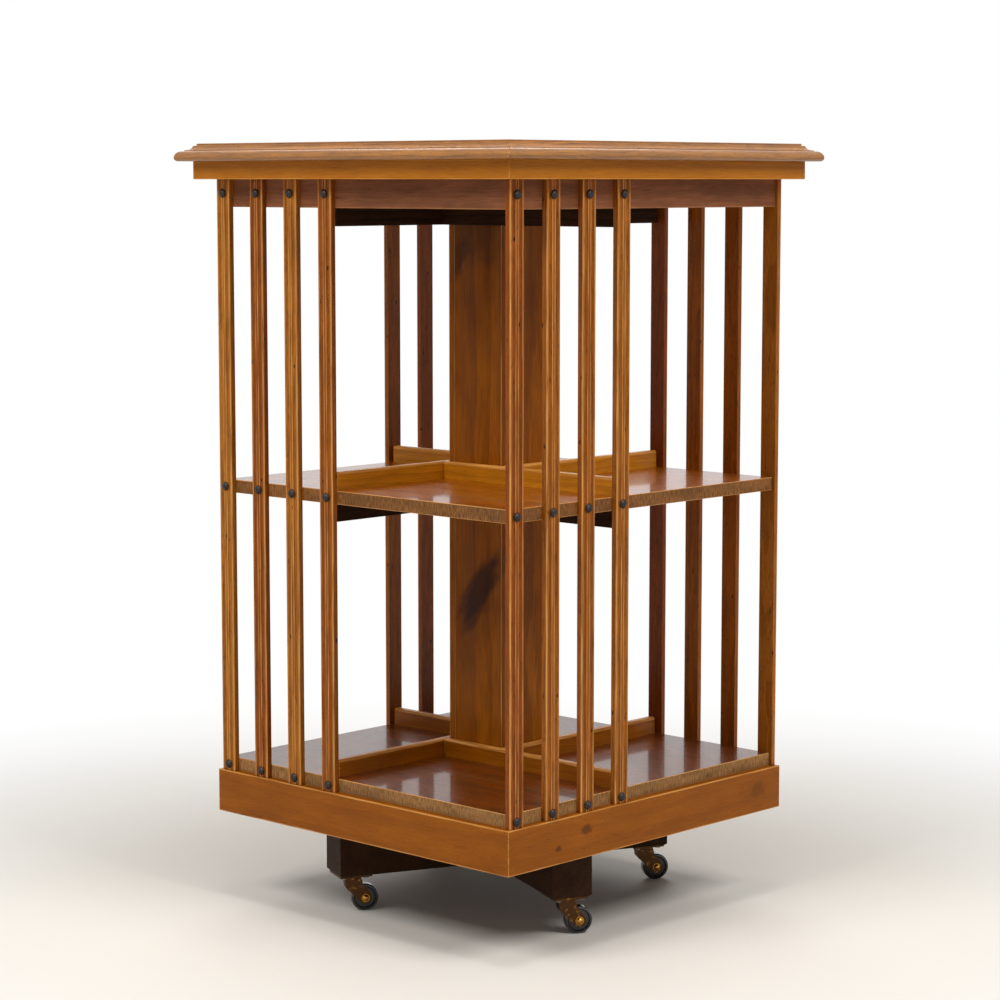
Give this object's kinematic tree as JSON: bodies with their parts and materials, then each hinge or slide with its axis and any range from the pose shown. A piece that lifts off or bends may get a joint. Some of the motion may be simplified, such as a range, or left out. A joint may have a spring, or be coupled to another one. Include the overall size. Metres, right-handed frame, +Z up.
{
  "type": "revolving bookcase",
  "caption": "Square two-tier case of fluted slats with book bays on every side, turning on a central post above a cross base with swivel castors.",
  "frame": {"origin": "on the floor, on the axis the case turns about", "axes": "+Z up along the turning axis; at rest the case's faces look along -Y (front), +X, +Y and -X"},
  "size_m": [0.521, 0.521, 0.868],
  "materials": {
    "top_veneer": "lacquered satin-gloss",
    "moulding_wood": "lacquered, worn",
    "dark_wood": "stained satin",
    "batten_wood": "raw, dark stained",
    "rail_wood": "lacquered gloss",
    "column_wood": "lacquered gloss",
    "shelf_wood": "lacquered gloss, raw edges",
    "plinth_wood": "lacquered gloss",
    "slat_wood": "lacquered, worn arrises",
    "dark_studs": "bronzed, dark",
    "bronze": "machined",
    "steel": "turned",
    "base_wood": "stained satin",
    "castor_brass": "tarnished",
    "wheel_black": "polished"
  },
  "bodies": {
    "base": {"lower_cross_beam": "base_wood", "upper_cross_beam": "base_wood", "pivot_post": "steel", "post_flange": "steel", "base_screws": "steel", "castor_plates": "castor_brass"},
    "case": {"top_board": "top_veneer", "top_moulding_front": "moulding_wood", "top_moulding_right": "moulding_wood", "top_moulding_back": "moulding_wood", "top_moulding_left": "moulding_wood", "fascia_boards": "top_veneer", "frieze_boards": "dark_wood", "top_shelf": "dark_wood", "top_battens": "batten_wood", "mid_battens": "batten_wood", "upper_book_rails": "rail_wood", "lower_book_rails": "rail_wood", "column_board_front": "column_wood", "column_board_right": "column_wood", "column_board_back": "column_wood", "column_board_left": "column_wood", "mid_shelf": "shelf_wood", "lower_shelf": "shelf_wood", "plinth_board_front": "plinth_wood", "plinth_board_right": "plinth_wood", "plinth_board_back": "plinth_wood", "plinth_board_left": "plinth_wood", "slat_front_1": "slat_wood", "slat_front_2": "slat_wood", "slat_front_3": "slat_wood", "slat_front_4": "slat_wood", "slat_right_1": "slat_wood", "slat_right_2": "slat_wood", "slat_right_3": "slat_wood", "slat_right_4": "slat_wood", "slat_back_1": "slat_wood", "slat_back_2": "slat_wood", "slat_back_3": "slat_wood", "slat_back_4": "slat_wood", "slat_left_1": "slat_wood", "slat_left_2": "slat_wood", "slat_left_3": "slat_wood", "slat_left_4": "slat_wood", "slat_studs": "dark_studs", "bearing_block": "batten_wood", "pivot_cup": "bronze", "lower_bush": "bronze"},
    "castor_1": {"castor_fork_1": "castor_brass", "castor_axle_1": "castor_brass"},
    "castor_2": {"castor_fork_2": "castor_brass", "castor_axle_2": "castor_brass"},
    "castor_3": {"castor_fork_3": "castor_brass", "castor_axle_3": "castor_brass"},
    "castor_4": {"castor_fork_4": "castor_brass", "castor_axle_4": "castor_brass"},
    "wheel_1": {"castor_wheel_1": "wheel_black"},
    "wheel_2": {"castor_wheel_2": "wheel_black"},
    "wheel_3": {"castor_wheel_3": "wheel_black"},
    "wheel_4": {"castor_wheel_4": "wheel_black"}
  },
  "joints": [
    {"name": "case_spin", "type": "hinge", "parent": "base", "child": "case", "pos_m": [0, 0, 0.151], "axis": [0, 0, 1], "continuous": true},
    {"name": "castor_swivel_1", "type": "hinge", "parent": "base", "child": "castor_1", "pos_m": [0.07412, 0.16836, 0.04], "axis": [0, 0, 1], "continuous": true},
    {"name": "castor_swivel_2", "type": "hinge", "parent": "base", "child": "castor_2", "pos_m": [-0.16836, 0.07412, 0.04], "axis": [0, 0, 1], "continuous": true},
    {"name": "castor_swivel_3", "type": "hinge", "parent": "base", "child": "castor_3", "pos_m": [-0.07412, -0.16836, 0.04], "axis": [0, 0, 1], "continuous": true},
    {"name": "castor_swivel_4", "type": "hinge", "parent": "base", "child": "castor_4", "pos_m": [0.16836, -0.07412, 0.04], "axis": [0, 0, 1], "continuous": true},
    {"name": "castor_roll_1", "type": "hinge", "parent": "castor_1", "child": "wheel_1", "pos_m": [0.0825, 0.1808, 0.0155], "axis": [-0.829, 0.5592, 0], "continuous": true},
    {"name": "castor_roll_2", "type": "hinge", "parent": "castor_2", "child": "wheel_2", "pos_m": [-0.15998, 0.08655, 0.0155], "axis": [-0.829, 0.5592, 0], "continuous": true},
    {"name": "castor_roll_3", "type": "hinge", "parent": "castor_3", "child": "wheel_3", "pos_m": [-0.06573, -0.15593, 0.0155], "axis": [-0.829, 0.5592, 0], "continuous": true},
    {"name": "castor_roll_4", "type": "hinge", "parent": "castor_4", "child": "wheel_4", "pos_m": [0.17675, -0.06168, 0.0155], "axis": [-0.829, 0.5592, 0], "continuous": true}
  ]
}
